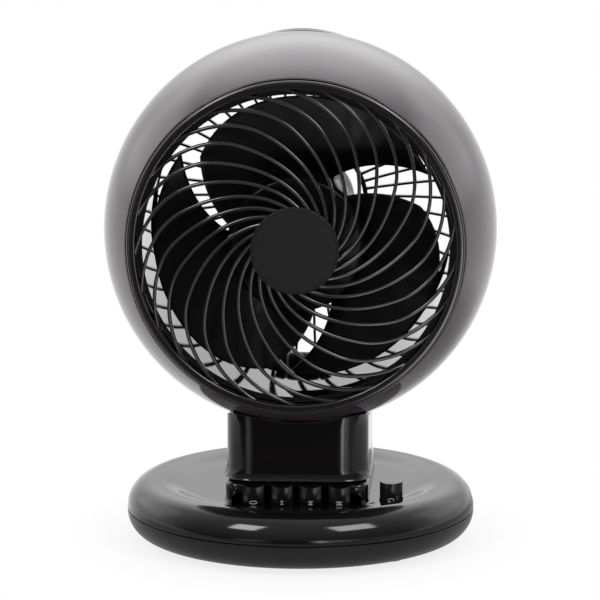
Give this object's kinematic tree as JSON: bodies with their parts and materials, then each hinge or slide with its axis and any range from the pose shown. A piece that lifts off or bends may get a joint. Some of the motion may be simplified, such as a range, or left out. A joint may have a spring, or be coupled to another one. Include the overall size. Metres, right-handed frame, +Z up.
{
  "type": "air circulator fan",
  "caption": "Black desk air circulator: glossy globe head with spiral front grille on a tilting, swinging neck over a round base with press keys.",
  "frame": {"origin": "middle of the round base, on the table", "axes": "+Z up, the fan blows towards -Y, +X is the side of the swing key"},
  "size_m": [0.21, 0.1868, 0.2743],
  "materials": {
    "gloss_shell": "high-gloss black moulded shell",
    "gloss_base": "high-gloss black base cover",
    "grille_black": "semi-gloss black grille",
    "badge_black": "matt black hub disc, bare",
    "blade_black": "satin black fan blade",
    "satin_black": "satin black moulding",
    "tray_black": "matt black base tray",
    "key_black": "semi-gloss black key with pale marking",
    "feet_rubber": "matt rubber",
    "nylon_natural": "natural low-friction nylon",
    "screw_steel": "black zinc steel",
    "motor_steel": "pressed zinc steel",
    "lamination": "stacked motor laminations",
    "copper_wire": "enamelled copper winding",
    "bearing_bronze": "sintered bronze",
    "shaft_steel": "ground steel"
  },
  "bodies": {
    "base": {"base_cover": "gloss_base", "base_tray": "tray_black", "base_screws": "screw_steel", "rubber_feet": "feet_rubber", "cord_inlet": "feet_rubber", "key_guide": "satin_black", "oscillation_key_guide": "satin_black", "switch_block": "satin_black", "oscillation_switch": "satin_black", "oscillation_motor": "motor_steel", "oscillation_motor_screws": "screw_steel", "swivel_bush": "nylon_natural"},
    "crank": {"crank_wheel": "nylon_natural"},
    "off_key": {"off_key": "key_black"},
    "speed_1_key": {"speed_1_key": "key_black"},
    "speed_2_key": {"speed_2_key": "key_black"},
    "speed_3_key": {"speed_3_key": "key_black"},
    "oscillation_key": {"oscillation_key": "key_black"},
    "neck": {"neck_front": "gloss_base", "neck_rear": "gloss_base", "neck_screws": "screw_steel", "swivel_plate": "satin_black", "tilt_post": "satin_black", "tilt_post_screws": "screw_steel", "drive_arm": "nylon_natural", "drive_arm_screws": "screw_steel"},
    "head": {"front_shell": "gloss_shell", "rear_shell": "gloss_shell", "shell_screws": "screw_steel", "front_grille": "grille_black", "grille_badge": "badge_black", "inner_duct": "gloss_shell", "duct_screws": "screw_steel", "rear_grille": "grille_black", "motor_carrier": "satin_black", "carrier_screws": "screw_steel", "motor_front_bell": "motor_steel", "motor_rear_bell": "motor_steel", "motor_stator": "lamination", "motor_windings": "copper_wire", "motor_bearings": "bearing_bronze", "tilt_fork": "satin_black", "tilt_fork_screws": "screw_steel", "tilt_pin": "screw_steel", "tilt_nut": "screw_steel", "friction_washers": "nylon_natural"},
    "rotor": {"fan_blade": "blade_black", "blade_nut": "blade_black", "motor_shaft": "shaft_steel", "rotor_core": "lamination"}
  },
  "joints": [
    {"name": "neck_swing", "type": "hinge", "parent": "base", "child": "neck", "pos_m": [0, 0, 0.04], "axis": [0, 0, 1], "range_deg": [-35, 35]},
    {"name": "crank_turn", "type": "hinge", "parent": "base", "child": "crank", "pos_m": [0, 0.022, 0.028], "axis": [0, 0, 1], "range_deg": [-90.5, 90.5]},
    {"name": "head_tilt", "type": "hinge", "parent": "neck", "child": "head", "pos_m": [0, 0.022, 0.088], "axis": [-1, 0, 0], "range_deg": [0, 25]},
    {"name": "blade_spin", "type": "hinge", "parent": "head", "child": "rotor", "pos_m": [0, 0, 0.1693], "axis": [0, 1, 0], "continuous": true},
    {"name": "off_key_press", "type": "slide", "parent": "base", "child": "off_key", "axis": [0, 0, -1], "range_m": [0, 0.0035], "stiffness_N_per_m": 600, "springref_m": -0.001},
    {"name": "speed_1_key_press", "type": "slide", "parent": "base", "child": "speed_1_key", "axis": [0, 0, -1], "range_m": [0, 0.0035], "stiffness_N_per_m": 600, "springref_m": -0.001},
    {"name": "speed_2_key_press", "type": "slide", "parent": "base", "child": "speed_2_key", "axis": [0, 0, -1], "range_m": [0, 0.0035], "stiffness_N_per_m": 600, "springref_m": -0.001},
    {"name": "speed_3_key_press", "type": "slide", "parent": "base", "child": "speed_3_key", "axis": [0, 0, -1], "range_m": [0, 0.0035], "stiffness_N_per_m": 600, "springref_m": -0.001},
    {"name": "oscillation_key_press", "type": "slide", "parent": "base", "child": "oscillation_key", "axis": [0, 0, -1], "range_m": [0, 0.0035], "stiffness_N_per_m": 600, "springref_m": -0.001}
  ],
  "couplings": [
    {"joint": "crank_turn", "follows": "neck_swing", "ratio": 2.5714}
  ]
}
